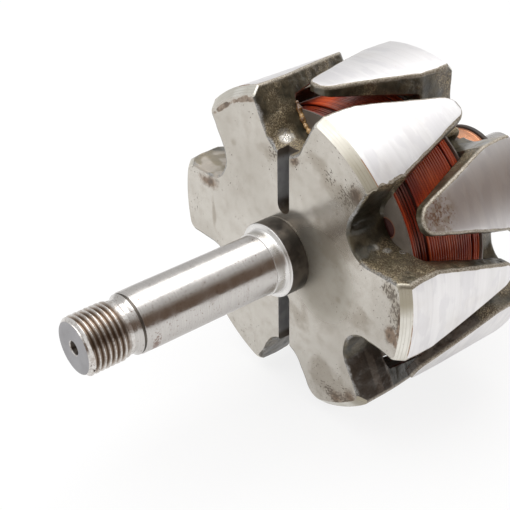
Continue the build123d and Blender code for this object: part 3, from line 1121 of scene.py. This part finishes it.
tube_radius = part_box("bobbin_tube")[1].x / mm
drum_radius = winding_radius - 2 * layer_step - 0.5
drum_end = winding_start + winding_length - 0.05
drum_profile = [(winding_start + 0.5, tube_radius)]
for turn in range(int((drum_radius - tube_radius) / wire_pitch)):
    drum_profile.append((winding_start + 0.45, tube_radius + turn * wire_pitch + 0.1))
    drum_profile.append((winding_start + 0.05, tube_radius + (turn + 0.5) * wire_pitch))
drum_profile += [(winding_start + 0.45, drum_radius), (drum_end, drum_radius), (drum_end, tube_radius)]
drum_profile.append(drum_profile[0])
# Painted shade: the layers below are a much darker copy of the enamel, as they lie in the shade of the outer
# turns and inside the lead holes.
painted_shade_layers, under_shader, under_place = new_finish("inner_layers", (0.09, 0.012, 0.007), 0.0, 0.5)
emboss(under_shader, grain(under_place, 0.02, 1, (1, 70, 1)), 0.3)
inner_layers = new_piece("coil_inner_layers", lathe(drum_profile), [painted_shade_layers], sharp_angle=60)
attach(inner_layers, "root")

# Slip rings. Two copper rings shrunk onto a moulded sleeve that is pressed on the shaft, each
# joined to one end of the winding by a soldered terminal.
moulding_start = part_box("slip_ring_moulding")[0].y / mm
rib_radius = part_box("slip_ring_moulding")[1].x / mm
ring_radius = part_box("inner_slip_ring")[1].x / mm
ring_seat_radius = 11.5
ring_chamfer = 0.35
rib_round = 0.3
track_margin = 0.9
track_wear = 0.2


def ring_copper():
    """Copper of the slip rings: bright in the brush track, browned beside it, with fine brush lines."""
    material, shader, place = new_finish("ring_copper", (0.72, 0.32, 0.17), 1.0, 0.24)
    lines = grain(place, 0.03, 2, (1, 300, 1))
    clouds = grain(place, 0.15, 4)
    beside = span(axis_radius(place), ring_radius - 0.15, ring_radius - 0.03)
    track = tint(span(lines, 0.3, 0.7), (0.62, 0.26, 0.13), (0.85, 0.43, 0.26))
    track = tint(span(clouds, 0.52, 0.72, 0.0, 0.5), track, (0.25, 0.12, 0.07))
    browned = tint(span(clouds, 0.3, 0.7), (0.20, 0.085, 0.05), (0.42, 0.19, 0.11))
    feed(shader, "Base Color", tint(beside, track, browned))
    feed(shader, "Roughness", span(beside, 0, 1, 0.2, 0.42))
    emboss(shader, lines, 0.02)
    return material


ring_finish = ring_copper()
resin_clouds = (0.2, 5, 0.35, 0.7)
moulding_resin = mottled(
    "moulding_resin", 0.0, 0.45, resin_clouds, (0.022, 0.014, 0.01), (0.06, 0.035, 0.022), (1.1, 3, 0.02)
)
moulding_profile = [
    (moulding_start, rear_step_radius),
    (moulding_start, rib_radius - rib_round),
    (moulding_start + rib_round, rib_radius),
]
for node in ("inner_slip_ring", "outer_slip_ring"):
    ring_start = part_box(node)[0].y / mm
    ring_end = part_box(node)[1].y / mm
    moulding_profile += [
        (ring_start - rib_round, rib_radius),
        (ring_start, rib_radius - rib_round),
        (ring_start, ring_seat_radius),
        (ring_end, ring_seat_radius),
        (ring_end, rib_radius - rib_round),
        (ring_end + rib_round, rib_radius),
    ]
    ring_profile = [
        (ring_start, ring_seat_radius),
        (ring_start, ring_radius - ring_chamfer),
        (ring_start + ring_chamfer, ring_radius),
        (ring_start + track_margin, ring_radius),
        (ring_start + track_margin + track_wear, ring_radius - track_wear),
        (ring_end - track_margin - track_wear, ring_radius - track_wear),
        (ring_end - track_margin, ring_radius),
        (ring_end - ring_chamfer, ring_radius),
        (ring_end, ring_radius - ring_chamfer),
        (ring_end, ring_seat_radius),
        (ring_start, ring_seat_radius),
    ]
    worn_ring = new_piece("worn_" + node, lathe(ring_profile), [ring_finish])
    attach(worn_ring, "root")
    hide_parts(node)
moulding_profile += [
    (moulding_end - rib_round, rib_radius),
    (moulding_end, rib_radius - rib_round),
    (moulding_end, rear_step_radius),
    (moulding_start, rear_step_radius),
]
moulding_shape = lathe(moulding_profile)
soften(moulding_shape, rib_radius - 1)
ribbed_moulding = new_piece("ribbed_moulding", moulding_shape, [moulding_resin])
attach(ribbed_moulding, "root")
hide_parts("slip_ring_moulding")

# Solder. Each lead lies along its terminal tab under a drop of tin solder.
solder_clouds = (0.8, 4, 0.35, 0.65)
solder_tones = (0.34, 0.33, 0.31), (0.72, 0.71, 0.69)
tin_solder = mottled("tin_solder", 1.0, 0.3, solder_clouds, *solder_tones, (1.5, 3, 0.05))
solder_drop_radius = 1.15
solder_shape = bmesh.new()
for node in ("start_terminal", "finish_terminal"):
    tab_low, tab_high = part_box(node)
    tab_middle = (tab_low + tab_high) / 2 / mm
    outward = Vector((tab_middle.x, 0, tab_middle.z)).normalized()
    drop = bmesh.ops.create_icosphere(solder_shape, subdivisions=3, radius=solder_drop_radius)["verts"]
    for vert in drop:
        vert.co *= 1 + 0.12 * noise.noise(vert.co * 1.1 + outward * 5)
    bmesh.ops.scale(solder_shape, verts=drop, vec=(0.95, 0.75, 0.95))
    bmesh.ops.translate(solder_shape, verts=drop, vec=tab_middle + outward * 0.5)
solder = new_piece("solder_drops", solder_shape, [tin_solder], sharp_angle=80)
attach(solder, "root")

# Terminals, leads and sleeves. Brass tabs in the moulding, the two ends of the coil wire, and woven
# sleeving that is slipped over each wire. They keep the shapes of the frame.
terminal_brass = turned_steel("terminal_brass", (0.62, 0.44, 0.2), 0.3, 0.01, 0.15)
lead_enamel = enamel()
sleeve_tones = (0.2, 0.15, 0.08), (0.42, 0.36, 0.25)
lead_sleeving = mottled("lead_sleeving", 0.0, 0.7, (1.8, 2, 0.35, 0.65), *sleeve_tones, (1.8, 2, 0.12))
for end in ("start", "finish"):
    refinish(end + "_terminal", terminal_brass)
    refinish(end + "_lead", lead_enamel)
    refinish(end + "_lead_sleeve", lead_sleeving)

# Studio. The rotor lies on a white table under one wide soft lamp, with darker surroundings low on
# its right that draw the brown band along the shaft.
camera_azimuth = math.radians(51.66)
camera_elevation = math.radians(32.25)
camera_roll = math.radians(-1.189)
camera = bpy.data.objects.new("camera", bpy.data.cameras.new("camera"))
scene.collection.objects.link(camera)
scene.camera = camera
camera.location = (198.306 * mm, -157.467 * mm, 163.046 * mm)
camera.rotation_mode = "QUATERNION"
turn_to_side = Matrix.Rotation(camera_azimuth, 3, "Z")
tip_down = Matrix.Rotation(math.pi / 2 - camera_elevation, 3, "X")
roll = Matrix.Rotation(camera_roll, 3, "Z")
camera.rotation_quaternion = (turn_to_side @ tip_down @ roll).to_quaternion()
camera.data.sensor_width = 36.0
camera.data.lens = 78.58
camera.data.clip_start = 0.01
camera.data.clip_end = 20.0

table_half_size = 4000
seen_glow = 0.82
mirrored_glow = 0.55
table_shape = bmesh.new()
bmesh.ops.create_grid(table_shape, x_segments=1, y_segments=1, size=table_half_size)
bmesh.ops.translate(table_shape, verts=table_shape.verts, vec=(0, 0, cad_low.z / mm))
table_finish, table_shader = new_finish("table_white", (0.9, 0.9, 0.9), 0.0, 0.9)[:2]
feed(table_shader, "Specular IOR Level", 0.1)
glow = new_node(table_shader, "Emission", Color=(1, 1, 1, 1))
rays = new_node(table_shader, "LightPath")
seen_share = times(rays.outputs["Is Camera Ray"], seen_glow)
glow_share = larger(seen_share, times(rays.outputs["Is Glossy Ray"], mirrored_glow))
table_mix = new_node(table_shader, "MixShader", Fac=glow_share)
feed(table_mix, 1, table_shader.outputs["BSDF"])
feed(table_mix, 2, glow.outputs["Emission"])
feed(table_finish.node_tree.nodes["Material Output"], "Surface", table_mix.outputs["Shader"])
table = new_piece("table", table_shape, [table_finish])

lamp_data = bpy.data.lights.new("overhead_softbox", "AREA")
lamp_data.shape = "RECTANGLE"
lamp_data.size = 0.74
lamp_data.size_y = 1.4
lamp_data.energy = 6.2
lamp = bpy.data.objects.new("overhead_softbox", lamp_data)
lamp_tilt = math.radians(-11.5)
lamp_distance = 0.85
lamp.location = (math.sin(lamp_tilt) * lamp_distance, 0, math.cos(lamp_tilt) * lamp_distance)
lamp.rotation_euler = (0, lamp_tilt, 0)
scene.collection.objects.link(lamp)

world = bpy.data.worlds.new("studio")
scene.world = world
world.use_nodes = True
backdrop = world.node_tree.nodes["Background"]
toward = new_node(backdrop, "TexCoord").outputs["Generated"]
swing = combine("ARCTAN2", coordinate(toward, "X"), coordinate(toward, "Z"))
walls = new_node(backdrop, "ValToRGB")
walls.color_ramp.interpolation = "EASE"
wall_tones = (
    (-100, (0.62, 0.62, 0.62)),
    (-60, (0.72, 0.72, 0.72)),
    (-36, (0.9, 0.9, 0.9)),
    (14, (1.0, 1.0, 1.0)),
    (37, (0.62, 0.61, 0.6)),
    (49, (0.32, 0.28, 0.25)),
    (57, (0.17, 0.12, 0.09)),
    (92, (0.17, 0.12, 0.09)),
    (105, (0.5, 0.49, 0.48)),
)
ramp_turn = 220
for number, (angle, tone) in enumerate(wall_tones):
    share = 0.5 + angle / ramp_turn
    stop = walls.color_ramp.elements[number] if number < 2 else walls.color_ramp.elements.new(share)
    stop.position = share
    stop.color = (*tone, 1)
feed(walls, "Fac", plus(times(swing, math.degrees(1) / ramp_turn), 0.5))
feed(backdrop, "Color", walls.outputs["Color"])
white = new_node(backdrop, "Background", Strength=1.0, Color=(1, 1, 1, 1))
seen = new_node(backdrop, "LightPath").outputs["Is Camera Ray"]
choose = new_node(backdrop, "MixShader", Fac=seen)
feed(choose, 1, backdrop.outputs["Background"])
feed(choose, 2, white.outputs["Background"])
feed(world.node_tree.nodes["World Output"], "Surface", choose.outputs["Shader"])

scene.view_settings.view_transform = "Standard"
